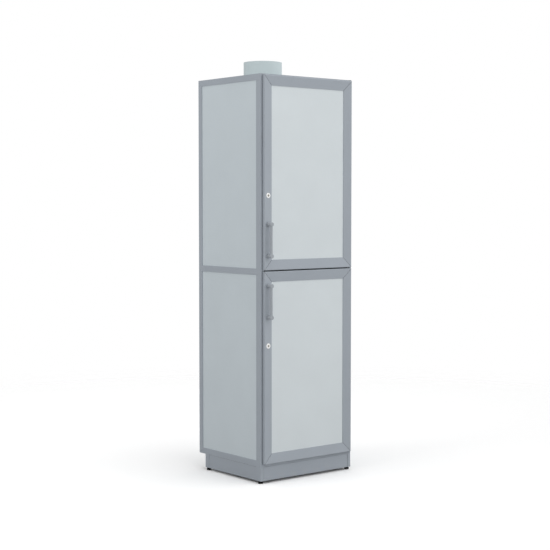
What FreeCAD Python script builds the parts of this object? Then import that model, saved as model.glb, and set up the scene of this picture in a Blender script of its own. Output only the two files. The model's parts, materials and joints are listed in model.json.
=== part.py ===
import FreeCAD, Part
import os
import re

import Sketcher
from FreeCAD import Placement, Rotation, Vector

# Tall two-door laboratory storage cabinet, in millimetres, +Z up.
# The origin is on the floor, under the middle of the overall outline.
# +X is the hinge side, -Y is the front with the doors, +Y is the wall side.

# Driving dimensions
SIZES = {
    # Carcass outline
    "cabinet_width": 600,
    "carcass_depth": 520,
    "carcass_height": 2012,
    "foot_height": 14,
    "plinth_height": 70,
    "leg_setback": 55,
    # Frame tube, deeper in the front posts
    "tube_short": 20,
    "tube_long": 30,
    "front_post_depth": 35,
    "tube_wall": 2,
    "tube_corner": 2.5,
    # Plinth sheets
    "plinth_sheet": 1.5,
    "plinth_flange": 15,
    "plinth_recess": 1,
    "plinth_joint": 1,
    "plinth_end": 0.8,
    # Infill panels and folded trays
    "panel_thickness": 8,
    "panel_recess": 3,
    "back_thickness": 4,
    "tray_sheet": 1.5,
    "tray_bend": 2,
    "vent_width": 12,
    "vent_length": 70,
    "vent_pitch": 26,
    "vent_count": 9,
    "vent_margin": 40,
    # Shelves and their pins
    "shelf_depth": 400,
    "shelf_lip": 25,
    "shelf_side_gap": 2,
    "shelf_hole_count": 3,
    "pin_hole_count": 5,
    "pin_radius": 3,
    "pin_fit": 0.05,
    "pin_depth": 5,
    "pin_reach": 12,
    "pin_margin": 60,
    # Duct collar
    "collar_radius": 100,
    "collar_wall": 2,
    "collar_height": 100,
    "collar_setback": 160,
    "flange_radius": 125,
    "flange_thickness": 2,
    # Doors
    "door_side_inset": 11.5,
    "door_top_inset": 5,
    "door_gap": 3,
    "door_between": 5.5,
    "door_reveal": 13.5,
    "door_thickness": 13.5,
    "frame_face": 51.5,
    "frame_round": 4,
    "face_drop": 7.5,
    "groove_depth": 8,
    "groove_back": 1.1,
    "door_panel_thickness": 2.5,
    "door_panel_fit": 0.1,
    "chamber_start": 13,
    "chamber_wall": 2,
    "chamber_rib": 4,
    "chamber_height": 4.5,
    "mitre_gap": 0.5,
    "cleat_length": 60,
    "cleat_fit": 0.1,
    # Door pivots
    "pivot_inset": 5.5,
    "pivot_radius": 2.5,
    "pivot_fit": 0.05,
    "pivot_depth": 16,
    "pivot_play": 0.3,
    "lug_thickness": 3,
    "lug_radius": 6,
    "shoulder_radius": 4,
    # Flat seats sunk into the sloping face of the door frame
    "seat_depth": 5.5,
    "seat_fit": 0.1,
    # Handles
    "handle_inset": 26.5,
    "handle_edge": 71,
    "handle_centres": 156,
    "handle_reach": 29,
    "handle_post_radius": 10.5,
    "handle_post_edge": 1.5,
    "bar_radius": 7,
    "bar_stand": 20.5,
    "bar_end": 4,
    "bar_fit": 0.05,
    # Locks
    "lock_inset": 26,
    "lock_edge": 368.5,
    "rosette_radius": 13,
    "rosette_height": 5,
    "rosette_edge": 1,
    "barrel_radius": 8,
    "barrel_reach": 6.8,
    "barrel_fit": 0.1,
    "plug_radius": 5.5,
    "plug_fit": 0.05,
    "plug_recess": 0.3,
    "keyway_width": 1.6,
    "keyway_length": 7,
    "keyway_depth": 9,
    "tail_side": 6,
    "tail_length": 4,
    "cam_gap": 0.2,
    "cam_thickness": 2,
    "cam_half_width": 7,
    "cam_length": 14,
    "cam_fit": 0.1,
    "strike_sheet": 2,
    "strike_reach": 7.5,
    "strike_leg": 22,
    "strike_height": 50,
    "strike_setback": 1,
    # Levelling feet and their threaded inserts
    "foot_radius": 12,
    "foot_side": 12,
    "foot_edge": 1.5,
    "foot_rim": 9,
    "foot_neck_radius": 8,
    "foot_neck": 12,
    "stem_radius": 4,
    "stem_length": 45,
    "stem_fit": 0.05,
    "insert_height": 20,
    "insert_fit": 0.1,
}

# Planes and lengths worked out from the driving dimensions
LAYOUT = {
    "half_width": "cabinet_width / 2",
    "inner_x": "half_width - tube_short",
    "back_y": "(carcass_depth + door_gap + door_thickness + handle_reach) / 2",
    "front_y": "back_y - carcass_depth",
    "top_z": "foot_height + carcass_height",
    "plinth_top": "foot_height + plinth_height",
    "lower_floor": "plinth_top + tube_long",
    "upper_ceiling": "top_z - tube_long",
    "middle_low": "(lower_floor + upper_ceiling - tube_long) / 2",
    "middle_high": "middle_low + tube_long",
    "compartment": "middle_low - lower_floor",
    "pin_pitch": "compartment / (pin_hole_count + 1)",
    "side_start": "front_y + front_post_depth",
    "side_span": "back_y - tube_long - side_start",
    "cross_span": "cabinet_width - 2 * tube_short",
    "panel_inner_x": "half_width - panel_recess - panel_thickness",
    "back_panel_y": "back_y - panel_recess - back_thickness",
    "door_width": "cabinet_width - 2 * door_side_inset",
    "door_low": "plinth_top + door_reveal",
    "door_high": "top_z - door_top_inset",
    "door_height": "(door_high - door_low - door_between) / 2",
    "upper_door_low": "door_high - door_height",
    "lower_door_high": "door_low + door_height",
    "door_rear": "front_y - door_gap",
    "door_front": "door_rear - door_thickness",
    "groove_front": "groove_back + door_panel_thickness + 2 * door_panel_fit",
    "chamber_end": "frame_face - groove_depth - chamber_rib",
    "chamber_front": "chamber_wall + chamber_height",
    "hinge_x": "half_width - door_side_inset - pivot_inset",
    "hinge_y": "door_rear - pivot_inset",
    "lug_gap": "(door_between - lug_thickness) / 2",
    "handle_x": "door_side_inset + handle_inset - half_width",
    "lock_x": "door_side_inset + lock_inset - half_width",
    "barrel_length": "door_thickness + barrel_reach",
    "rosette_front": "rosette_height - seat_depth",
}

doc = FreeCAD.newDocument("storage_cabinet")
sizes = doc.addObject("Spreadsheet::Sheet", "Sizes")
layout = doc.addObject("Spreadsheet::Sheet", "Layout")


def formula(text, own=""):
    """Name the sheet that each word of a formula comes from."""

    def named(match):
        word = match.group()
        if word in SIZES:
            return "Sizes." + word
        if word in LAYOUT and own != "Layout":
            return "Layout." + word
        return word

    return re.sub(r"[a-z]\w*", named, text)


def number(text):
    """The present value of a formula."""
    return float(sizes.evalExpression(formula(text)))


for row, (name, value) in enumerate(SIZES.items(), start=1):
    sizes.set(f"A{row}", name)
    sizes.set(f"B{row}", str(value))
    sizes.setAlias(f"B{row}", name)
for row, (name, text) in enumerate(LAYOUT.items(), start=1):
    layout.set(f"A{row}", name)
    layout.set(f"B{row}", "=" + formula(text, own="Layout"))
    layout.setAlias(f"B{row}", name)
doc.recompute()

UPRIGHT = Rotation()
UPSIDE_DOWN = Rotation(Vector(0, 1, 0), 180)
HALF_TURN = Rotation(Vector(0, 0, 1), 180)
QUARTER_TURN = 90
# Local Z points to the hinge side
ACROSS = Rotation(Vector(0, 1, 0), QUARTER_TURN)
# Local Z points out of the cabinet's front, local Y points up
FACING_FRONT = Rotation(Vector(1, 0, 0), QUARTER_TURN)
# Two coordinates nearer than this are the same
TOLERANCE = 1e-6
# Sub-parts that are written out, in the order they are made
nodes = []


def place(piece, x, y, z, turn=UPRIGHT):
    """Tie a piece's position to the sizes."""
    piece.Placement = Placement(Vector(), turn)
    for axis, text in zip("xyz", (x, y, z)):
        piece.setExpression(f"Placement.Base.{axis}", formula(text))


def new_body(label, x, y, z, turn=UPRIGHT, kept=True):
    body = doc.addObject("PartDesign::Body", label)
    body.Label = label
    place(body, x, y, z, turn)
    if kept:
        nodes.append(body)
    return body


def new_sketch(body, plane, lift="0"):
    """A sketch on one of the body's own planes, lifted along that plane's normal."""
    sketch = body.newObject("Sketcher::SketchObject", f"{body.Label}_sketch")
    planes = {feature.Role: feature for feature in body.Origin.OriginFeatures}
    sketch.AttachmentSupport = [(planes[plane + "_Plane"], "")]
    sketch.MapMode = "FlatFace"
    sketch.setExpression("AttachmentOffset.Base.z", formula(lift))
    return sketch


def drive(sketch, kind, geometry, point, text):
    """Hold one coordinate of a sketch point at a formula, counted from the sketch's origin."""
    rule = Sketcher.Constraint(kind, -1, 1, geometry, point, number(text))
    index = sketch.addConstraint(rule)
    sketch.setExpression(f"Constraints[{index}]", formula(text))


def outline(sketch, corners):
    """A closed anticlockwise outline. A corner is (x, y), with the centre's x and y after it where
    an arc runs on to the next corner."""
    first = sketch.GeometryCount
    points = [Vector(number(corner[0]), number(corner[1])) for corner in corners]
    for corner, start, end in zip(corners, points, points[1:] + points[:1]):
        if len(corner) == 2:
            sketch.addGeometry(Part.LineSegment(start, end))
            continue
        centre = Vector(number(corner[2]), number(corner[3]))
        ring = Part.Circle(centre, Vector(0, 0, 1), (start - centre).Length)
        sketch.addGeometry(Part.ArcOfCircle(ring, ring.parameter(start), ring.parameter(end)))
    for index, corner in enumerate(corners):
        line = first + index
        following = first + (index + 1) % len(corners)
        sketch.addConstraint(Sketcher.Constraint("Coincident", line, 2, following, 1))
        drive(sketch, "DistanceX", line, 1, corner[0])
        drive(sketch, "DistanceY", line, 1, corner[1])
        if len(corner) > 2:
            drive(sketch, "DistanceY", line, 3, corner[3])


def rectangle(sketch, low_x, low_y, high_x, high_y):
    outline(sketch, [(low_x, low_y), (high_x, low_y), (high_x, high_y), (low_x, high_y)])


def circle(sketch, x, y, radius):
    ring = Part.Circle(Vector(number(x), number(y)), Vector(0, 0, 1), number(radius))
    index = sketch.addGeometry(ring)
    drive(sketch, "DistanceX", index, 3, x)
    drive(sketch, "DistanceY", index, 3, y)
    rule = sketch.addConstraint(Sketcher.Constraint("Radius", index, number(radius)))
    sketch.setExpression(f"Constraints[{rule}]", formula(radius))


def pad(body, sketch, length):
    """Grow a sketch along the positive axis that is square to its plane."""
    feature = body.newObject("PartDesign::Pad", f"{body.Label}_pad")
    feature.Profile = sketch
    feature.Reversed = "XZ" in sketch.AttachmentSupport[0][0].Role
    feature.setExpression("Length", formula(length))
    body.Tip = feature


def pocket(body, sketch, length=None, forward=True):
    """Cut a sketch out: right through both ways, or a length along its axis or against it."""
    doc.recompute()
    before = body.Shape.Volume
    feature = body.newObject("PartDesign::Pocket", f"{body.Label}_pocket")
    feature.Profile = sketch
    if length is None:
        feature.Type = "ThroughAll"
        feature.SideType = "Symmetric"
    else:
        along_normal = "XZ" not in sketch.AttachmentSupport[0][0].Role
        feature.Reversed = forward == along_normal
        feature.setExpression("Length", formula(length))
    body.Tip = feature
    doc.recompute()
    if not body.Shape.Volume < before:
        raise ValueError(f"a pocket in {body.Label} removes nothing")
    return feature


def revolve(body, corners):
    """Turn an outline of (radius, height) corners about the body's Z axis."""
    sketch = new_sketch(body, "XZ")
    outline(sketch, corners)
    feature = body.newObject("PartDesign::Revolution", f"{body.Label}_revolution")
    feature.Profile = sketch
    feature.ReferenceAxis = (sketch, ["V_Axis"])
    body.Tip = feature


def round_edges(body, radius, wanted):
    """Fillet the edges of a body that a test picks out by their two ends, in its own frame."""
    doc.recompute()
    base = body.Tip
    names = []
    for index, edge in enumerate(base.Shape.Edges, start=1):
        ends = [vertex.Point for vertex in edge.Vertexes]
        if wanted(edge, ends):
            names.append(f"Edge{index}")
    if not names:
        raise ValueError(f"no edge of {body.Label} is rounded")
    feature = body.newObject("PartDesign::Fillet", f"{body.Label}_fillet")
    feature.Base = (base, names)
    feature.setExpression("Radius", formula(radius))
    body.Tip = feature


def repeat(body, feature, axis, pitch, count):
    """Repeat a pocket along one of its sketch's axes."""
    pattern = body.newObject("PartDesign::LinearPattern", f"{body.Label}_pattern")
    pattern.Originals = [feature]
    pattern.Direction = (feature.Profile[0], [axis])
    pattern.setExpression("Length", formula(f"({pitch}) * ({count} - 1)"))
    pattern.setExpression("Occurrences", formula(count))
    body.Tip = pattern


def group(label, members):
    """Identical pieces that share one node, each still its own solid."""
    bundle = doc.addObject("Part::Compound", label)
    bundle.Label = label
    bundle.Links = members
    nodes.append(bundle)


# Frame of rectangular tube
def tube(label, plane, length, x, y, z, side="tube_long", capped=False, bare_corner=None):
    """A tube whose short side is along the sketch's first axis; a capped one is shut at its far end.
    Only a corner that stays bare is rounded: the others are welded and ground flush."""
    body = new_body(label, x, y, z)
    section = new_sketch(body, plane)
    rectangle(section, "0", "0", "tube_short", side)
    pad(body, section, length)
    if bare_corner:
        corner_x, corner_y = (number(text) for text in bare_corner)
        round_edges(body, "tube_corner", lambda edge, ends: all(
            abs(end.x - corner_x) < TOLERANCE and abs(end.y - corner_y) < TOLERANCE for end in ends))
    bore = new_sketch(body, plane)
    rectangle(bore, "tube_wall", "tube_wall", "tube_short - tube_wall", f"{side} - tube_wall")
    if capped:
        pocket(body, bore, f"{length} - tube_wall")
    else:
        pocket(body, bore)


SIDES = {"left": "-half_width", "right": "inner_x"}
LEVELS = {"top": "upper_ceiling", "middle": "middle_low", "bottom": "plinth_top"}
OUTER_X = {"left": "0", "right": "tube_short"}
for side, x in SIDES.items():
    tube(f"front_{side}_post", "XY", "carcass_height", x, "front_y", "foot_height",
         "front_post_depth", capped=True, bare_corner=(OUTER_X[side], "0"))
    tube(f"rear_{side}_post", "XY", "top_z - plinth_top", x, "back_y - tube_long", "plinth_top",
         capped=True, bare_corner=(OUTER_X[side], "tube_long"))
    tube(f"rear_{side}_leg", "XY", "plinth_height", x, "back_y - leg_setback - tube_long", "foot_height")
    for level, z in LEVELS.items():
        tube(f"{side}_{level}_rail", "XZ", "side_span", x, "side_start", z)
for level in ("top", "bottom"):
    tube(f"front_{level}_rail", "YZ", "cross_span", "-inner_x", "front_y", LEVELS[level])
    tube(f"rear_{level}_rail", "YZ", "cross_span", "-inner_x", "back_y - tube_short", LEVELS[level])


# Plinth of folded sheet
def plinth(label, plane, length, x, y, turn=UPRIGHT):
    """A channel that shows its web and turns its two flanges inwards."""
    body = new_body(label, x, y, "foot_height", turn)
    section = new_sketch(body, plane)
    height = "plinth_height - plinth_joint"
    outline(section, [
        ("0", "0"),
        ("plinth_flange", "0"),
        ("plinth_flange", "plinth_sheet"),
        ("plinth_sheet", "plinth_sheet"),
        ("plinth_sheet", f"{height} - plinth_sheet"),
        ("plinth_flange", f"{height} - plinth_sheet"),
        ("plinth_flange", height),
        ("0", height),
    ])
    pad(body, section, length)
    return body


LEG_FRONT = "back_y - leg_setback - tube_long"
SIDE_PLINTH = f"{LEG_FRONT} - side_start"
front_plinth = plinth("front_plinth", "YZ", "cross_span", "-inner_x", "front_y + plinth_recess")
# Its flanges reach the posts, where the web stops short
web_ends = new_sketch(front_plinth, "XZ")
for start, end in (("0", "plinth_end"), ("cross_span - plinth_end", "cross_span")):
    rectangle(web_ends, start, "plinth_sheet", end, "plinth_height - plinth_joint - plinth_sheet")
pocket(front_plinth, web_ends, "plinth_sheet")
plinth("left_plinth", "XZ", SIDE_PLINTH, "plinth_recess - half_width", "side_start")
plinth("right_plinth", "XZ", SIDE_PLINTH, "half_width - plinth_recess", LEG_FRONT, HALF_TURN)


# Side panels, drilled on the inside for shelf pins
def side_panel(label, x, y, z, turn):
    body = new_body(label, x, y, z, turn)
    face = new_sketch(body, "YZ")
    rectangle(face, "0", "0", "side_span", "compartment")
    pad(body, face, "panel_thickness")
    drilling = new_sketch(body, "YZ", "panel_thickness")
    for along in ("pin_margin", "side_span - pin_margin"):
        circle(drilling, along, "pin_pitch", "pin_radius + pin_fit")
    holes = pocket(body, drilling, "pin_depth", forward=False)
    repeat(body, holes, "V_Axis", "pin_pitch", "pin_hole_count")


COMPARTMENTS = {"upper": "middle_high", "lower": "lower_floor"}
for level, floor in COMPARTMENTS.items():
    side_panel(f"left_{level}_panel", "panel_recess - half_width", "side_start", floor, UPRIGHT)
    side_panel(f"right_{level}_panel", "half_width - panel_recess", "back_y - tube_long", floor, HALF_TURN)

back_panel = new_body("back_panel", "-inner_x", "back_panel_y", "lower_floor")
back_face = new_sketch(back_panel, "XZ")
rectangle(back_face, "0", "0", "cross_span", "upper_ceiling - lower_floor")
pad(back_panel, back_face, "back_thickness")

# Top panel, open under the duct collar
top_panel = new_body("top_panel", "0", "front_y + tube_short", "top_z - panel_recess - panel_thickness")
top_face = new_sketch(top_panel, "XY")
TOP_DEPTH = "carcass_depth - 2 * tube_short"
rectangle(top_face, "-inner_x", "0", "inner_x", TOP_DEPTH)
circle(top_face, "0", f"{TOP_DEPTH} + tube_short - collar_setback", "collar_radius - collar_wall")
pad(top_panel, top_face, "panel_thickness")

duct_collar = new_body("duct_collar", "0", "back_y - collar_setback", "top_z - panel_recess")
revolve(duct_collar, [
    ("collar_radius - collar_wall", "0"),
    ("flange_radius", "0"),
    ("flange_radius", "flange_thickness"),
    ("collar_radius", "flange_thickness"),
    ("collar_radius", "collar_height + panel_recess"),
    ("collar_radius - collar_wall", "collar_height + panel_recess"),
])


# Folded trays: the floors of the compartments and the shelves
def tray(label, width, depth, height, y, z):
    """A sheet with all four edges folded down, its top bends rounded."""
    body = new_body(label, "0", y, z)
    plan = new_sketch(body, "XY")
    rectangle(plan, f"-({width}) / 2", "0", f"({width}) / 2", depth)
    pad(body, plan, height)
    top = number(height)
    round_edges(body, "tray_bend", lambda edge, ends: all(abs(end.z - top) < TOLERANCE for end in ends))
    hollow = new_sketch(body, "XY")
    rectangle(hollow, f"tray_sheet - ({width}) / 2", "tray_sheet",
              f"({width}) / 2 - tray_sheet", f"{depth} - tray_sheet")
    pocket(body, hollow, f"{height} - tray_sheet")
    return body


MIDDLE_DEPTH = "back_panel_y - front_y"
middle_panel = tray("middle_panel", "cross_span", MIDDLE_DEPTH, "tube_long", "front_y", "middle_low")
slots = new_sketch(middle_panel, "XY")
VENT_ROW = "vent_pitch * (vent_count - 1) + vent_width"
VENT_END = f"{MIDDLE_DEPTH} - vent_margin"
rectangle(slots, f"-({VENT_ROW}) / 2", f"{VENT_END} - vent_length",
          f"vent_width - ({VENT_ROW}) / 2", VENT_END)
repeat(middle_panel, pocket(middle_panel, slots), "H_Axis", "vent_pitch", "vent_count")

tray("bottom_panel", "cross_span", TOP_DEPTH, "tube_long", "front_y + tube_short", "plinth_top")
SHELF_WIDTH = "2 * panel_inner_x - 2 * shelf_side_gap"
SHELF_Y = "side_start + shelf_side_gap"
pins = []
for level, floor in COMPARTMENTS.items():
    pin_z = f"{floor} + shelf_hole_count * pin_pitch"
    tray(f"{level}_shelf", SHELF_WIDTH, "shelf_depth", "shelf_lip", SHELF_Y, f"{pin_z} + pin_radius")
    for side, x in (("left", "-panel_inner_x - pin_depth"), ("right", "panel_inner_x - pin_reach")):
        for end, along in (("front", "pin_margin"), ("rear", "side_span - pin_margin")):
            pin = doc.addObject("Part::Cylinder", f"{level}_{side}_{end}_pin")
            pin.setExpression("Radius", formula("pin_radius"))
            pin.setExpression("Height", formula("pin_depth + pin_reach"))
            place(pin, x, f"side_start + {along}", pin_z, ACROSS)
            pins.append(pin)
group("shelf_pins", pins)


# Pivot lugs, on the right front post
def spindle(body, radius, low, high):
    """A round stretch on the pivot axis from one height to another."""
    section = new_sketch(body, "XY", low)
    circle(section, "0", "0", radius)
    pad(body, section, f"({high}) - ({low})")


def pivot_lug(label, z, pin_up, pin_down):
    """A plate on the post with a shouldered pin up or down, or both, into the doors' corners."""
    body = new_body(label, "hinge_x", "hinge_y", z, kept=False)
    plan = new_sketch(body, "XY")
    outline(plan, [
        ("lug_radius", "front_y - hinge_y"),
        ("-lug_radius", "front_y - hinge_y"),
        ("-lug_radius", "0", "0", "0"),
        ("lug_radius", "0"),
    ])
    pad(body, plan, "lug_thickness")
    if pin_up:
        spindle(body, "shoulder_radius", "0", "lug_thickness + lug_gap - pivot_play")
        spindle(body, "pivot_radius", "0", "lug_thickness + lug_gap - pivot_play + pivot_depth")
    if pin_down:
        spindle(body, "shoulder_radius", "pivot_play - lug_gap", "lug_thickness")
        spindle(body, "pivot_radius", "pivot_play - lug_gap - pivot_depth", "lug_thickness")
    return body


group("pivot_lugs", [
    pivot_lug("top_pivot_lug", "door_high + lug_gap", pin_up=False, pin_down=True),
    pivot_lug("middle_pivot_lug", "lower_door_high + lug_gap", pin_up=True, pin_down=True),
    pivot_lug("bottom_pivot_lug", "door_low - lug_gap - lug_thickness", pin_up=True, pin_down=False),
])


# Levelling feet, each in a threaded insert that plugs a tube's lower end
TUBE_DEPTH = {"front": "front_post_depth", "rear": "tube_long"}


def foot_insert(side, end, x, y):
    turn = UPRIGHT if side == "left" else HALF_TURN
    body = new_body(f"{end}_{side}_insert", x, y, "foot_height", turn, kept=False)
    section = new_sketch(body, "XY")
    half_x = "(tube_short / 2 - tube_wall - insert_fit)"
    half_y = f"({TUBE_DEPTH[end]} / 2 - tube_wall - insert_fit)"
    rectangle(section, f"tube_short / 2 - foot_side - {half_x}", f"-{half_y}",
              f"tube_short / 2 - foot_side + {half_x}", half_y)
    circle(section, "0", "0", "stem_radius + stem_fit")
    pad(body, section, "insert_height")
    return body


def levelling_foot(label, x, y):
    """A round pad with a domed shoulder under a threaded stem."""
    body = new_body(label, x, y, "0")
    revolve(body, [
        ("0", "0"),
        ("foot_radius - foot_edge", "0"),
        ("foot_radius", "foot_edge"),
        ("foot_radius", "foot_rim"),
        ("foot_neck_radius", "foot_neck"),
        ("stem_radius", "foot_neck"),
        ("stem_radius", "foot_neck + stem_length"),
        ("0", "foot_neck + stem_length"),
    ])


FOOT_X = {"left": "foot_side - half_width", "right": "half_width - foot_side"}
FOOT_Y = {"front": "front_y + front_post_depth / 2", "rear": "back_y - leg_setback - tube_long / 2"}
inserts = []
for end, y in FOOT_Y.items():
    for side, x in FOOT_X.items():
        inserts.append(foot_insert(side, end, x, y))
        levelling_foot(f"{end}_{side}_foot", x, y)
group("foot_inserts", inserts)


# Doors of mitred profile
def profile_section(body):
    """The frame profile: x runs in from the outer edge and y runs forward from the rear face. Its
    front slopes down from the rounded outer edge to the panel."""
    section = new_sketch(body, "XY")
    outline(section, [
        ("0", "0"),
        ("frame_face", "0"),
        ("frame_face", "groove_back"),
        ("frame_face - groove_depth", "groove_back"),
        ("frame_face - groove_depth", "groove_front"),
        ("frame_face", "groove_front"),
        ("frame_face", "door_thickness - face_drop"),
        ("frame_round", "door_thickness", "frame_round", "door_thickness - frame_round"),
        ("0", "door_thickness - frame_round"),
    ])
    rectangle(section, "chamber_start", "chamber_wall", "chamber_end", "chamber_front")
    return section


def frame_member(label, length, x, z, inward, along):
    """A length of profile, mitred at both ends with a hairline joint: inward points to the door's
    middle, along its length."""
    turn = Rotation(inward, Vector(0, -1, 0), along, "XYZ")
    body = new_body(label, x, "door_rear", z, turn)
    pad(body, profile_section(body), length)
    mitre = new_sketch(body, "XZ")
    outline(mitre, [
        ("0", "0"),
        ("frame_face", "0"),
        ("frame_face", "frame_face + mitre_gap"),
        ("0", "mitre_gap"),
    ])
    outline(mitre, [
        ("0", f"{length} - mitre_gap"),
        ("frame_face", f"{length} - mitre_gap - frame_face"),
        ("frame_face", length),
        ("0", length),
    ])
    pocket(body, mitre)
    return body


def corner_cleats(prefix, corners):
    """Angles inside the profile's chambers that join the frame's corners, listed anticlockwise."""
    cleats = []
    near, far = "(chamber_start + cleat_fit)", "(chamber_end - cleat_fit)"
    end = f"{near} + cleat_length"
    for index, (x, z) in enumerate(corners):
        turn = FACING_FRONT * Rotation(Vector(0, 0, 1), index * QUARTER_TURN)
        body = new_body(f"{prefix}_cleat_{index + 1}", x, "door_rear - chamber_wall - cleat_fit", z,
                        turn, kept=False)
        face = new_sketch(body, "XY")
        outline(face, [(near, near), (end, near), (end, far), (far, far), (far, end), (near, end)])
        pad(body, face, "chamber_height - 2 * cleat_fit")
        cleats.append(body)
    group(f"{prefix}_corner_cleats", cleats)


def door_panel(label, low):
    """The infill sheet, held all round in the frame's groove."""
    margin = "(door_side_inset + frame_face - groove_depth + door_panel_fit)"
    height = "door_height - 2 * (frame_face - groove_depth + door_panel_fit)"
    body = new_body(label, f"{margin} - half_width",
                    "door_rear - groove_back - door_panel_fit - door_panel_thickness",
                    f"{low} + frame_face - groove_depth + door_panel_fit")
    face = new_sketch(body, "XZ")
    rectangle(face, "0", "0", f"cabinet_width - 2 * {margin}", height)
    pad(body, face, "door_panel_thickness")


def handle(prefix, low_post, high_post):
    """Two posts on the left stile and the bar that plugs into both."""
    posts = []
    for name, z, turn in (("low", low_post, UPRIGHT), ("high", high_post, UPSIDE_DOWN)):
        body = new_body(f"{prefix}_handle_{name}_post", "handle_x", "door_front - handle_reach", z,
                        turn, kept=False)
        section = new_sketch(body, "XZ")
        circle(section, "0", "0", "handle_post_radius")
        pad(body, section, "handle_reach + seat_depth")
        round_edges(body, "handle_post_edge", lambda edge, ends: all(abs(end.y) < TOLERANCE for end in ends))
        socket = new_sketch(body, "XY", "bar_end")
        circle(socket, "0", "handle_reach - bar_stand", "bar_radius + bar_fit")
        pocket(body, socket, "handle_post_radius")
        posts.append(body)
    group(f"{prefix}_handle_posts", posts)
    bar = new_body(f"{prefix}_handle_bar", "handle_x", "door_front - bar_stand", f"{low_post} + bar_end")
    section = new_sketch(bar, "XY")
    circle(section, "0", "0", "bar_radius")
    pad(bar, section, "handle_centres - 2 * bar_end")


def lock(prefix, z):
    """A cam lock: a flanged barrel through the stile, the plug turned by a key, and the cam behind."""
    barrel = new_body(f"{prefix}_lock_body", "lock_x", "door_front", z, FACING_FRONT)
    bore = "plug_radius + plug_fit"
    revolve(barrel, [
        (bore, "-barrel_length"),
        ("barrel_radius", "-barrel_length"),
        ("barrel_radius", "-seat_depth"),
        ("rosette_radius", "-seat_depth"),
        ("rosette_radius", "rosette_front - rosette_edge"),
        ("rosette_radius - rosette_edge", "rosette_front"),
        (bore, "rosette_front"),
    ])
    plug = new_body(f"{prefix}_lock_plug", "lock_x", "door_front", z, FACING_FRONT)
    core = new_sketch(plug, "XY", "-barrel_length")
    circle(core, "0", "0", "plug_radius")
    pad(plug, core, "barrel_length + rosette_front - plug_recess")
    tail = new_sketch(plug, "XY", "-barrel_length - tail_length")
    rectangle(tail, "-tail_side / 2", "-tail_side / 2", "tail_side / 2", "tail_side / 2")
    pad(plug, tail, "tail_length")
    keyway = new_sketch(plug, "XY", "rosette_front - plug_recess")
    rectangle(keyway, "-keyway_width / 2", "-keyway_length / 2", "keyway_width / 2", "keyway_length / 2")
    pocket(plug, keyway, "keyway_depth", forward=False)
    cam = new_body(f"{prefix}_lock_cam", "lock_x", "door_front + barrel_length + cam_gap + cam_thickness",
                   z, FACING_FRONT)
    plate = new_sketch(cam, "XY")
    tip = "cam_half_width - cam_length"
    outline(plate, [
        ("-cam_half_width", "0"),
        ("-cam_half_width", tip, "0", tip),
        ("cam_half_width", tip),
        ("cam_half_width", "0", "0", "0"),
    ])
    square = "(tail_side / 2 + cam_fit)"
    rectangle(plate, f"-{square}", f"-{square}", square, square)
    pad(cam, plate, "cam_thickness")


def door(prefix, low, low_post, lock_z):
    """One door; low is its lower edge, low_post the lower handle post and lock_z the lock's height."""
    high = f"{low} + door_height"
    left, right = "door_side_inset - half_width", "half_width - door_side_inset"
    x_axis, z_axis = Vector(1, 0, 0), Vector(0, 0, 1)
    high_post = f"{low_post} + handle_centres"
    left_stile = frame_member(f"{prefix}_left_stile", "door_height", left, high, x_axis, -z_axis)
    barrel_hole = new_sketch(left_stile, "XZ")
    circle(barrel_hole, "lock_inset", f"{high} - ({lock_z})", "barrel_radius + barrel_fit")
    pocket(left_stile, barrel_hole)
    seats = new_sketch(left_stile, "XZ", "seat_depth - door_thickness")
    circle(seats, "lock_inset", f"{high} - ({lock_z})", "rosette_radius + seat_fit")
    for post in (low_post, high_post):
        circle(seats, "handle_inset", f"{high} - ({post})", "handle_post_radius + seat_fit")
    pocket(left_stile, seats, "seat_depth")
    right_stile = frame_member(f"{prefix}_right_stile", "door_height", right, low, -x_axis, z_axis)
    top_rail = frame_member(f"{prefix}_top_rail", "door_width", right, high, -z_axis, -x_axis)
    bottom_rail = frame_member(f"{prefix}_bottom_rail", "door_width", left, low, z_axis, x_axis)
    bore = "pivot_radius + pivot_fit"
    for member, along in ((top_rail, "pivot_inset"), (bottom_rail, "door_width - pivot_inset")):
        hole = new_sketch(member, "YZ")
        circle(hole, "pivot_inset", along, bore)
        pocket(member, hole, "pivot_depth + pivot_play")
    for lift, forward in (("0", True), ("door_height", False)):
        hole = new_sketch(right_stile, "XY", lift)
        circle(hole, "pivot_inset", "pivot_inset", bore)
        pocket(right_stile, hole, "pivot_depth + pivot_play", forward)
    corner_cleats(prefix, [(left, low), (right, low), (right, high), (left, high)])
    door_panel(f"{prefix}_panel", low)
    handle(prefix, low_post, high_post)
    lock(prefix, lock_z)


LOCK_HEIGHTS = {"upper": "upper_door_low + lock_edge", "lower": "lower_door_high - lock_edge"}
door("upper_door", "upper_door_low", "upper_door_low + handle_edge", LOCK_HEIGHTS["upper"])
door("lower_door", "door_low", "lower_door_high - handle_edge - handle_centres", LOCK_HEIGHTS["lower"])

# Strike angles that the cams turn behind, on the left front post
strikes = []
for level, z in LOCK_HEIGHTS.items():
    strike = new_body(f"{level}_strike", "-inner_x", "front_y + strike_setback",
                      f"{z} - strike_height / 2", kept=False)
    section = new_sketch(strike, "XY")
    outline(section, [
        ("0", "0"),
        ("strike_reach", "0"),
        ("strike_reach", "strike_sheet"),
        ("strike_sheet", "strike_sheet"),
        ("strike_sheet", "strike_leg"),
        ("0", "strike_leg"),
    ])
    pad(strike, section, "strike_height")
    strikes.append(strike)
group("lock_strikes", strikes)

# Every object is sound before anything is written
doc.recompute()
for item in doc.Objects:
    if "Invalid" in item.State or "Error" in item.State:
        raise ValueError(f"{item.Label} failed to compute")
for node in nodes:
    if node.Shape.isNull() or not node.Shape.isValid():
        raise ValueError(f"{node.Label} has no valid shape")
os.makedirs("parts", exist_ok=True)
for node in nodes:
    node.Shape.exportStep(f"parts/{node.Label}.step")
    print(node.Label, len(node.Shape.Solids), round(node.Shape.Volume))
print(len(nodes), "sub-parts")
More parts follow.
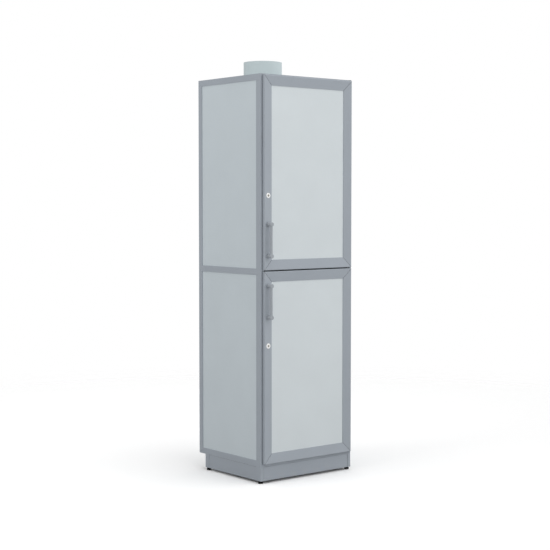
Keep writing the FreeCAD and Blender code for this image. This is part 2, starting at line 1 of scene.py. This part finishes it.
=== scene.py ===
import json
import math

import bmesh
import bpy
from mathutils import Matrix, Vector


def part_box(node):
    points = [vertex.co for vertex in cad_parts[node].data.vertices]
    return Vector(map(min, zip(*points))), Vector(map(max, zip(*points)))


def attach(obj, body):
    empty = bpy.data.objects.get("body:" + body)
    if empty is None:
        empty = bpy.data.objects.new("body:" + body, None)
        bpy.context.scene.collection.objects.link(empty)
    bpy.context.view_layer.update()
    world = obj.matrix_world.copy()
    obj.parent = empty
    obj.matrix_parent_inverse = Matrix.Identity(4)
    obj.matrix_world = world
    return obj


# Looks of the two-door storage cabinet, in metres
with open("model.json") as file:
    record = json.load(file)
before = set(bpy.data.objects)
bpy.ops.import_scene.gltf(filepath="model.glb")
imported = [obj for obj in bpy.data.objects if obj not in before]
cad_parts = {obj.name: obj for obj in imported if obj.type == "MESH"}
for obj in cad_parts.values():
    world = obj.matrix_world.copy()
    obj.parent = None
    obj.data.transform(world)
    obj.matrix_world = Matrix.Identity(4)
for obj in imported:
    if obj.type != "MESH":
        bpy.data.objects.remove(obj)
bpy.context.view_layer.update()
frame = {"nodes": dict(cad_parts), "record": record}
nodes = frame["nodes"]


# Node trees
def add(tree, kind, inputs, **settings):
    """A new node with its settings; each input takes a value or another node's output."""
    node = tree.nodes.new(kind)
    for key, value in settings.items():
        setattr(node, key, value)
    for socket, value in inputs.items():
        if isinstance(value, bpy.types.NodeSocket):
            tree.links.new(value, node.inputs[socket])
        else:
            node.inputs[socket].default_value = value
    return node


def mix_values(tree, share, first, second):
    """The first value where share is nought, and the second where it is one."""
    return add(tree, "ShaderNodeMix", {0: share, 2: first, 3: second}, data_type="FLOAT").outputs[0]


def mix_colours(tree, share, first, second):
    """The first colour where share is nought, and the second where it is one."""
    return add(tree, "ShaderNodeMix", {0: share, 6: first, 7: second}, data_type="RGBA").outputs[2]


def looked_at(tree):
    """One for rays that show a surface to the camera, directly or in a reflection, and else nought."""
    path = add(tree, "ShaderNodeLightPath", {}).outputs
    seen = path["Is Camera Ray"]
    for kind in ("Is Glossy Ray", "Is Transmission Ray"):
        seen = add(tree, "ShaderNodeMath", {0: seen, 1: path[kind]}, operation="MAXIMUM").outputs[0]
    return seen


# Materials
PATCH_DETAIL, GRAIN_DETAIL = 3, 2
GRAIN_SHARE = 0.6
RAMP_START, RAMP_END = 0.3, 0.7
GLOSS_SPREAD = 0.06
BUMP_STRENGTH = 0.5


def linear(colour):
    """A screen colour of 0 to 255 as the light that it stands for."""
    shares = [value / 255 for value in colour]
    return [s / 12.92 if s <= 0.04045 else ((s + 0.055) / 1.055) ** 2.4 for s in shares]


def finish(name, colour, roughness, spread=0.05, patch=5.0, grain=1500.0, relief=0.00004, stretch=(1, 1, 1),
           **shader):
    """A surface with broad patches of lighter and darker colour, and a fine grain that sets gloss and relief.
    Spread is the share by which the colour varies, patch and grain count the features in a metre, relief is
    the grain's height, and shader gives values for the shader's own inputs."""
    material = bpy.data.materials.new(name)
    material.use_nodes = True
    tree = material.node_tree
    surface = tree.nodes["Principled BSDF"]
    for socket, value in shader.items():
        surface.inputs[socket.replace("_", " ")].default_value = value

    place = add(tree, "ShaderNodeTexCoord", {}).outputs["Object"]
    place = add(tree, "ShaderNodeMapping", {"Vector": place, "Scale": stretch}).outputs["Vector"]
    broad, fine = [
        add(tree, "ShaderNodeTexNoise", {"Vector": place, "Scale": scale, "Detail": detail}).outputs["Fac"]
        for scale, detail in ((patch, PATCH_DETAIL), (grain, GRAIN_DETAIL))
    ]

    ramp = add(tree, "ShaderNodeValToRGB", {"Fac": mix_values(tree, GRAIN_SHARE, broad, fine)})
    ends = ((RAMP_START, 1 - spread), (RAMP_END, 1 + spread))
    for stop, (position, share) in zip(ramp.color_ramp.elements, ends):
        stop.position = position
        stop.color = [min(1.0, value * share) for value in linear(colour)] + [1]
    tree.links.new(ramp.outputs["Color"], surface.inputs["Base Color"])

    limits = {"To Min": roughness - GLOSS_SPREAD, "To Max": roughness + GLOSS_SPREAD}
    gloss = add(tree, "ShaderNodeMapRange", {"Value": fine, **limits})
    tree.links.new(gloss.outputs["Result"], surface.inputs["Roughness"])

    bump = add(tree, "ShaderNodeBump", {"Height": fine, "Strength": BUMP_STRENGTH, "Distance": relief})
    tree.links.new(bump.outputs["Normal"], surface.inputs["Normal"])
    return material


POWDER = {"grain": 900, "relief": 0.00012}
LAMINATE = {"spread": 0.04, "grain": 1400, "relief": 0.00006, "Specular_IOR_Level": 0.30}
FINISHES = {
    "frame_paint": finish("frame_paint", (159, 166, 174), 0.56, **POWDER, Specular_IOR_Level=0.28),
    "door_profile": finish("door_profile", (158, 165, 173), 0.54, **POWDER, Specular_IOR_Level=0.28),
    "panel_laminate": finish("panel_laminate", (207, 214, 217), 0.55, **LAMINATE),
    "tray_paint": finish("tray_paint", (203, 209, 212), 0.50, **POWDER, Specular_IOR_Level=0.35),
    "collar_paint": finish("collar_paint", (188, 199, 201), 0.55, **POWDER, Specular_IOR_Level=0.30),
    "handle_metal": finish("handle_metal", (156, 162, 168), 0.42, grain=1200, Specular_IOR_Level=0.35),
    "lock_white": finish("lock_white", (243, 243, 241), 0.30, spread=0.01, patch=60),
    "lock_metal": finish("lock_metal", (158, 153, 146), 0.32, spread=0.08, patch=120, grain=900,
                         stretch=(12, 1, 1), Metallic=1.0),
    "foot_black": finish("foot_black", (12, 12, 13), 0.60, spread=0.15, patch=60, Specular_IOR_Level=0.12),
    "insert_plastic": finish("insert_plastic", (52, 53, 55), 0.55, spread=0.1, patch=60),
}
# Dark rubber for the door seals and mitre gaskets, also used for the gap strip and plinth beads: its darkness
# and blue tint paint the shade in the gaps between parts
SEAL_RUBBER_AND_GAP_SHADE = finish("seal_rubber_and_gap_shade", (29, 31, 34), 0.62, spread=0.08, patch=40, grain=900, relief=0.00005)
ZINC = finish("zinc_plate", (178, 180, 181), 0.28, spread=0.06, patch=150, Metallic=1.0)
# Darker copy of the panel laminate for the carcass's panels: painted shade, so the cabinet's side panels come
# out darker than the door panels
SHADED_CARCASS_LAMINATE = finish("carcass_laminate_painted_shade", (196, 205, 210), 0.55, **LAMINATE)

for part in frame["record"]["subparts"]:
    name, slot = part["node"], part["material_slot"]
    paint = FINISHES[slot]
    # Carcass panels other than the doors' take the darker copy of the same laminate, as painted shade
    if slot == "panel_laminate" and "door" not in name:
        paint = SHADED_CARCASS_LAMINATE
    nodes[name].data.materials.clear()
    nodes[name].data.materials.append(paint)

# Small pieces that only show
SMOOTH_ANGLE = math.radians(35)
TURN_STEPS = 36


def new_piece(name, mesh, body, material, smooth=True):
    """Turn built faces into a piece that moves with a body of the cabinet."""
    bmesh.ops.recalc_face_normals(mesh, faces=mesh.faces)
    data = bpy.data.meshes.new(name)
    mesh.to_mesh(data)
    mesh.free()
    data.materials.append(material)
    for face in data.polygons:
        face.use_smooth = smooth
    piece = bpy.data.objects.new(name, data)
    bpy.context.scene.collection.objects.link(piece)
    if smooth:
        data.set_sharp_from_angle(angle=SMOOTH_ANGLE)
    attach(piece, body)


def skin(mesh, rings, closed):
    """Faces between rings of points; closed joins the last ring to the first, else both ends are capped."""
    made = [[mesh.verts.new(point) for point in ring] for ring in rings]
    pairs = list(zip(made, made[1:]))
    if closed:
        pairs.append((made[-1], made[0]))
    else:
        mesh.faces.new(made[0])
        mesh.faces.new(made[-1])
    for low, high in pairs:
        for index in range(len(low)):
            other = (index + 1) % len(low)
            mesh.faces.new((low[index], low[other], high[other], high[index]))


def hexagon(across, angle):
    """The distance from a hexagon's middle to its edge, for a width across the flats."""
    sector = math.radians(60)
    return across / 2 / math.cos(angle % sector - sector / 2)


def lathe(mesh, stations, place, closed=False):
    """Rings at (size, height, is hexagon) stations about the Z axis, set in place by a matrix."""
    rings = []
    for size, height, six_sided in stations:
        ring = []
        for step in range(TURN_STEPS):
            angle = 2 * math.pi * step / TURN_STEPS
            radius = hexagon(size, angle) if six_sided else size / 2
            ring.append(place @ Vector((radius * math.cos(angle), radius * math.sin(angle), height)))
        rings.append(ring)
    skin(mesh, rings, closed)


# A screw's head: its outline in shares of its width and height, and its socket
SCREW_OUTLINE = ((0.96, 0), (1, 0.25), (0.93, 0.6), (0.78, 0.88), (0.58, 1))
SCREW_HEIGHT, SOCKET_WIDTH, SOCKET_FLOOR = 0.34, 0.42, 0.35


def screw(mesh, point, axis, width):
    """A low round head with a hexagon socket, on a surface that faces along axis."""
    height = width * SCREW_HEIGHT
    place = Matrix.Translation(point) @ Vector(axis).to_track_quat("Z", "Y").to_matrix().to_4x4()
    stations = [(width * across, height * up, False) for across, up in SCREW_OUTLINE]
    stations += [(width * SOCKET_WIDTH, height * up, True) for up in (1, SOCKET_FLOOR)]
    lathe(mesh, stations, place)


# A gasket's path over the face of a door's frame, as distances in from the corner and forward of the back,
# and its section, as distances across the joint and out of the face
GASKET_PATH = ((0.0024, 0.01317), (0.0032, 0.01342), (0.0042, 0.01347), (0.0280, 0.00971), (0.0513, 0.00603))
GASKET_SECTION = ((-0.0003, -0.0015), (0.0003, -0.0015), (0.0003, -0.00005), (0.0007, 0.00004),
                  (0.0006, 0.00013), (-0.0006, 0.00013), (-0.0007, 0.00004), (-0.0003, -0.00005))


def mitre_gasket(mesh, corner, to_x, to_z):
    """A strip in the joint at a door's corner: its keel fills the gap and its low head covers the edges. In
    dark rubber it also paints the gap's shade as a dark line.
    """
    across = Vector((to_x, 0, -to_z)).normalized()
    rings = []
    for inward, forward in GASKET_PATH:
        foot = Vector((corner.x + inward * to_x, corner.y - forward, corner.z + inward * to_z))
        rings.append([foot + across * side - Vector((0, up, 0)) for side, up in GASKET_SECTION])
    skin(mesh, rings, closed=False)


SEAL_INSET, SEAL_WIDTH, SEAL_HEIGHT = 0.0035, 0.005, 0.0021
SEAL_STEPS = 8
NUT_ACROSS, NUT_BORE, NUT_HEIGHT = 0.0215, 0.0162, 0.0028
CHAMFER_START, CHAMFER_ACROSS = 0.8, 0.95
for level in ("upper", "lower"):
    door = f"{level}_door"
    sides = [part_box(f"{door}_{piece}") for piece in ("left_stile", "right_stile", "bottom_rail", "top_rail")]
    low = Vector([min(side[0][axis] for side in sides) for axis in range(3)])
    high = Vector([max(side[1][axis] for side in sides) for axis in range(3)])
    rear = high.y
    corners = ((low.x, low.z, 1, 1), (high.x, low.z, -1, 1), (high.x, high.z, -1, -1), (low.x, high.z, 1, -1))

    # Rubber seal round the back of the door
    section = [(SEAL_INSET, 0), (SEAL_INSET + SEAL_WIDTH, 0)]
    for step in range(1, SEAL_STEPS):
        angle = math.pi * step / SEAL_STEPS
        section.append((SEAL_INSET + SEAL_WIDTH * (1 + math.cos(angle)) / 2, SEAL_HEIGHT * math.sin(angle)))
    rings = [[Vector((x + inward * to_x, rear + out, z + inward * to_z)) for inward, out in section]
             for x, z, to_x, to_z in corners]
    seal = bmesh.new()
    skin(seal, rings, closed=True)
    new_piece(f"{door}_seal", seal, door, SEAL_RUBBER_AND_GAP_SHADE)

    # Gaskets in the mitres of the door's frame, whose dark rubber is also painted shade that makes the mitre
    # gaps read as dark lines
    gaskets = bmesh.new()
    for x, z, to_x, to_z in corners:
        mitre_gasket(gaskets, Vector((x, rear, z)), to_x, to_z)
    new_piece(f"{door}_mitre_gaskets_and_gap_shade", gaskets, door, SEAL_RUBBER_AND_GAP_SHADE, smooth=False)

    # Nut that holds the lock's barrel
    lock_low, lock_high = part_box(f"{door}_lock_body")
    lock_middle = (lock_low + lock_high) / 2
    place = Matrix.Translation((lock_middle.x, rear, lock_middle.z)) @ Matrix.Rotation(-math.pi / 2, 4, "X")
    nut = bmesh.new()
    lathe(nut, [
        (NUT_BORE, 0, False),
        (NUT_ACROSS, 0, True),
        (NUT_ACROSS, NUT_HEIGHT * CHAMFER_START, True),
        (NUT_ACROSS * CHAMFER_ACROSS, NUT_HEIGHT, True),
        (NUT_BORE, NUT_HEIGHT, False),
    ], place, closed=True)
    new_piece(f"{door}_lock_nut", nut, door, ZINC)

# Dark strip on the middle floor's edge, behind the gap between the doors and clear of the pivot: painted shade
# that darkens the gap
STRIP_HALF, STRIP_HEIGHT, STRIP_ENDS = 0.0055, 0.0012, (-0.279, 0.270)
STRIP_SECTION = ((-1, 0), (-0.95, 0.7), (-0.75, 1), (-0.25, 0.8), (0.25, 0.8), (0.75, 1), (0.95, 0.7), (1, 0))
floor_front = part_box("middle_panel")[0].y
gap_middle = (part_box("upper_door_bottom_rail")[0].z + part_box("lower_door_top_rail")[1].z) / 2
strip = bmesh.new()
skin(strip, [[Vector((x, floor_front - STRIP_HEIGHT * out, gap_middle + STRIP_HALF * up))
              for up, out in STRIP_SECTION] for x in STRIP_ENDS], closed=False)
new_piece("middle_gap_shade_strip", strip, "cabinet", SEAL_RUBBER_AND_GAP_SHADE)

# Dark beads in the joints over the side plinths and at the front plinth's ends: painted shade that darkens the
# joint lines
TOP_BEAD = ((-0.00045, 0.0013), (-0.00045, 0.0003), (-0.0003, 0.0002), (0.0006, 0.0002), (0.0007, 0.0003),
            (0.00045, 0.0013))
END_BEAD = ((0.00005, 0.0012), (0.00005, -0.00008), (0.0011, -0.00008), (0.0013, -0.00002), (0.0013, 0.00002),
            (0.0007, 0.00002), (0.0007, 0.0012))
BEAD_MARGIN = 0.002
front_low, front_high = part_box("front_plinth")
beads = bmesh.new()
for side, outward in (("left", -1), ("right", 1)):
    low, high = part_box(f"{side}_plinth")
    face = low.x if outward < 0 else high.x
    joint = (high.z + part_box(f"{side}_bottom_rail")[0].z) / 2
    skin(beads, [[Vector((face - outward * deep, y, joint + up)) for up, deep in TOP_BEAD]
                 for y in (low.y + BEAD_MARGIN, high.y - BEAD_MARGIN)], closed=False)
    end = front_low.x if outward < 0 else front_high.x
    skin(beads, [[Vector((end - outward * across, front_low.y + deep, z)) for across, deep in END_BEAD]
                 for z in (front_low.z + BEAD_MARGIN, front_high.z - BEAD_MARGIN)], closed=False)
new_piece("plinth_joint_shade_beads", beads, "cabinet", SEAL_RUBBER_AND_GAP_SHADE)

# Screws of the duct collar's flange
COLLAR_SCREWS, COLLAR_SCREW_WIDTH = 8, 0.008
FLANGE_MARGIN, FLANGE_THICKNESS = 0.0125, 0.002
collar_low, collar_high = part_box("duct_collar")
collar_middle = (collar_low + collar_high) / 2
circle = (collar_high.x - collar_low.x) / 2 - FLANGE_MARGIN
collar_screws = bmesh.new()
for index in range(COLLAR_SCREWS):
    angle = 2 * math.pi * (index + 0.5) / COLLAR_SCREWS
    point = (collar_middle.x + circle * math.cos(angle), collar_middle.y + circle * math.sin(angle),
             collar_low.z + FLANGE_THICKNESS)
    screw(collar_screws, point, (0, 0, 1), COLLAR_SCREW_WIDTH)
new_piece("collar_screws", collar_screws, "cabinet", ZINC)

# Screws along the edges of the back panel
BACK_ROWS, BACK_COLUMNS = 9, 3
BACK_MARGIN, BACK_SCREW_WIDTH = 0.012, 0.007
back_low, back_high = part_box("back_panel")
across = back_high.x - back_low.x - 2 * BACK_MARGIN
up = back_high.z - back_low.z - 2 * BACK_MARGIN
back_screws = bmesh.new()
for row in range(BACK_ROWS):
    for column in range(BACK_COLUMNS):
        if row in (0, BACK_ROWS - 1) or column in (0, BACK_COLUMNS - 1):
            point = (back_low.x + BACK_MARGIN + across * column / (BACK_COLUMNS - 1), back_high.y,
                     back_low.z + BACK_MARGIN + up * row / (BACK_ROWS - 1))
            screw(back_screws, point, (0, 1, 0), BACK_SCREW_WIDTH)
new_piece("back_panel_screws", back_screws, "cabinet", ZINC)

# Screws of the strike angles
STRIKE_SHEET, STRIKE_SPREAD, STRIKE_SCREW_WIDTH = 0.002, 0.016, 0.007
strike_low, strike_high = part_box("lock_strikes")
strike_screws = bmesh.new()
for level in ("upper", "lower"):
    lock_low, lock_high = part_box(f"{level}_door_lock_body")
    for side in (-1, 1):
        point = (strike_low.x + STRIKE_SHEET, (strike_low.y + strike_high.y) / 2 + STRIKE_SHEET,
                 (lock_low.z + lock_high.z) / 2 + side * STRIKE_SPREAD)
        screw(strike_screws, point, (1, 0, 0), STRIKE_SCREW_WIDTH)
new_piece("strike_screws", strike_screws, "cabinet", ZINC)

# Floor, which throws back less light than it shows and fades into the white far from the cabinet
FLOOR_HALF = 30
FLOOR_BOUNCE, FLOOR_SHOWN = 0.42, 1.09
FADE_START, FADE_END = 2.0, 4.5
floor_white = finish("floor_white", (250, 250, 250), 0.8, spread=0.002, patch=2, grain=400)
ground = floor_white.node_tree
matt = ground.nodes["Principled BSDF"]
written = matt.inputs["Base Color"].links[0].from_socket
shown = add(ground, "ShaderNodeVectorMath", {0: written, "Scale": FLOOR_SHOWN}, operation="SCALE")
thrown = (FLOOR_BOUNCE, FLOOR_BOUNCE, FLOOR_BOUNCE, 1)
ground.links.new(mix_colours(ground, looked_at(ground), thrown, shown.outputs["Vector"]),
                 matt.inputs["Base Color"])

spot = add(ground, "ShaderNodeTexCoord", {}).outputs["Object"]
distance = add(ground, "ShaderNodeVectorMath", {0: spot}, operation="LENGTH").outputs["Value"]
fade = add(ground, "ShaderNodeMapRange", {"Value": distance, "From Min": FADE_START, "From Max": FADE_END},
           interpolation_type="SMOOTHSTEP")
clear = add(ground, "ShaderNodeBsdfTransparent", {})
cover = add(ground, "ShaderNodeMixShader", {0: fade.outputs["Result"], 1: matt.outputs["BSDF"],
                                            2: clear.outputs["BSDF"]})
ground.links.new(cover.outputs["Shader"], ground.nodes["Material Output"].inputs["Surface"])

floor_mesh = bmesh.new()
bmesh.ops.create_grid(floor_mesh, x_segments=1, y_segments=1, size=FLOOR_HALF)
floor_data = bpy.data.meshes.new("floor")
floor_mesh.to_mesh(floor_data)
floor_mesh.free()
floor_data.materials.append(floor_white)
floor = bpy.data.objects.new("floor", floor_data)
bpy.context.scene.collection.objects.link(floor)

# World: white to look at and in reflections, and for the shading a fill with a broad brighter part
FILL, KEY, KEY_TOWARDS, KEY_POWER = 0.49, 1.17, (0.525, -0.779, 0.342), 2
world = bpy.data.worlds.new("studio")
bpy.context.scene.world = world
world.use_nodes = True
sky = world.node_tree
towards = add(sky, "ShaderNodeTexCoord", {}).outputs["Generated"]
facing = add(sky, "ShaderNodeVectorMath", {0: towards, 1: KEY_TOWARDS}, operation="DOT_PRODUCT")
near = add(sky, "ShaderNodeMath", {0: facing.outputs["Value"], 1: 0}, operation="MAXIMUM").outputs[0]
lobe = add(sky, "ShaderNodeMath", {0: near, 1: KEY_POWER}, operation="POWER").outputs[0]
shading = add(sky, "ShaderNodeMath", {0: lobe, 1: KEY, 2: FILL}, operation="MULTIPLY_ADD").outputs[0]
background = sky.nodes["Background"]
background.inputs["Color"].default_value = (1, 1, 1, 1)
sky.links.new(mix_values(sky, looked_at(sky), shading, 1), background.inputs["Strength"])

# Softboxes
LIT_POINT = Vector((0, 0, 1.1))


def softbox(name, place, width, power):
    """A square lamp that faces the cabinet's middle."""
    data = bpy.data.lights.new(name, "AREA")
    data.shape = "SQUARE"
    data.size = width
    data.energy = power
    lamp = bpy.data.objects.new(name, data)
    lamp.location = place
    lamp.rotation_mode = "QUATERNION"
    lamp.rotation_quaternion = (LIT_POINT - Vector(place)).to_track_quat("-Z", "Y")
    bpy.context.scene.collection.objects.link(lamp)


softbox("left_softbox", place=(-4.2, 0.4, 3.2), width=3.2, power=60)
softbox("top_softbox", place=(0, 0, 9), width=7.0, power=190)

# Camera at the photograph's place
CAMERA_PLACE = (-4.2689, -5.2630, 1.3872)
CAMERA_TURN, CAMERA_TILT = math.radians(38.935), math.radians(-3.100)
CAMERA_SENSOR, CAMERA_LENS = 36, 85.380
camera_data = bpy.data.cameras.new("camera")
camera_data.sensor_width = CAMERA_SENSOR
camera_data.lens = CAMERA_LENS
camera = bpy.data.objects.new("camera", camera_data)
camera.location = CAMERA_PLACE
camera.rotation_euler = (math.pi / 2 + CAMERA_TILT, 0, -CAMERA_TURN)
bpy.context.scene.collection.objects.link(camera)
bpy.context.scene.camera = camera
bpy.context.scene.view_settings.view_transform = "Standard"
